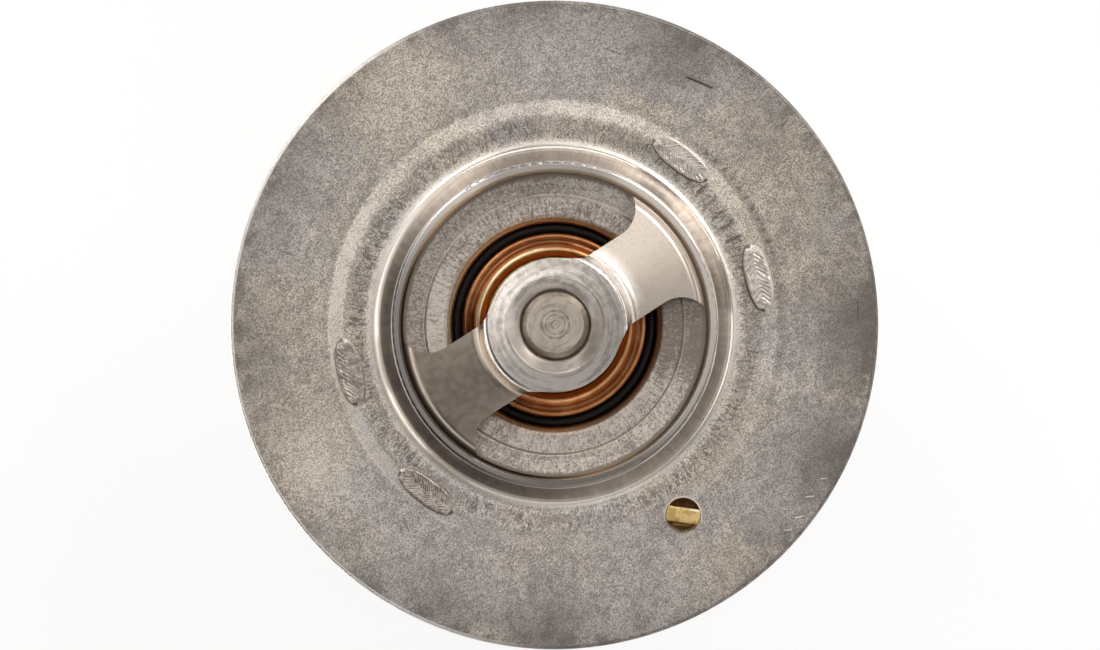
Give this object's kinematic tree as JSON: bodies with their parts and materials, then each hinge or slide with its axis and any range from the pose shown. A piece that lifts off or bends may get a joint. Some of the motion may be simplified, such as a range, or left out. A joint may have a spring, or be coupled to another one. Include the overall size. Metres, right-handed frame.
{
  "type": "engine thermostat",
  "caption": "Round flange-mounted wax thermostat for an engine's coolant, with a two-window bridge, a sprung main valve, a bypass valve on a stem and a vent pin.",
  "frame": {"origin": "centre of the flange's underside, on the part's axis", "axes": "+Z along the axis towards the outlet side, +X along the bridge's two arms, the vent pin near -Y"},
  "size_m": [0.067, 0.067, 0.0472],
  "materials": {
    "flange_steel": "tumbled satin stamping with fine scratches",
    "bridge_steel": "drawn, half polished",
    "cage_steel": "drawn, satin, hammered at the staked heads",
    "piston_steel": "turned",
    "valve_steel": "drawn, with radial streaks",
    "spring_steel": "drawn wire",
    "stem_steel": "turned",
    "bypass_steel": "stamped satin",
    "clip_steel": "hardened strip",
    "cup_copper": "drawn copper, darkened in its groove",
    "guide_brass": "turned",
    "vent_brass": "turned, blade flattened",
    "gasket_rubber": "smooth, half gloss",
    "boot_rubber": "smooth",
    "wax": "cast"
  },
  "bodies": {
    "frame": {"flange": "flange_steel", "bridge": "bridge_steel", "lower_frame": "cage_steel", "piston": "piston_steel", "main_spring": "spring_steel"},
    "capsule_unit": {"wax_cup": "cup_copper", "guide": "guide_brass", "boot": "boot_rubber", "wax_charge": "wax", "wiper_seal": "boot_rubber", "seal_washer": "piston_steel", "main_valve": "valve_steel", "valve_gasket": "gasket_rubber", "bypass_stem": "stem_steel", "bypass_clip": "clip_steel", "bypass_spring": "spring_steel"},
    "bypass": {"bypass_valve": "bypass_steel"},
    "vent": {"jiggle_pin": "vent_brass"}
  },
  "joints": [
    {"name": "valve_lift", "type": "slide", "parent": "frame", "child": "capsule_unit", "axis": [0, 0, -1], "range_m": [0, 0.008], "stiffness_N_per_m": 4000, "springref_m": -0.01, "deforming": ["main_spring"]},
    {"name": "bypass_slide", "type": "slide", "parent": "capsule_unit", "child": "bypass", "axis": [0, 0, 1], "range_m": [0, 0.004], "stiffness_N_per_m": 1500, "springref_m": -0.006, "deforming": ["bypass_spring"]},
    {"name": "vent_slide", "type": "slide", "parent": "frame", "child": "vent", "axis": [0, 0, 1], "range_m": [0, 0.0018]}
  ]
}
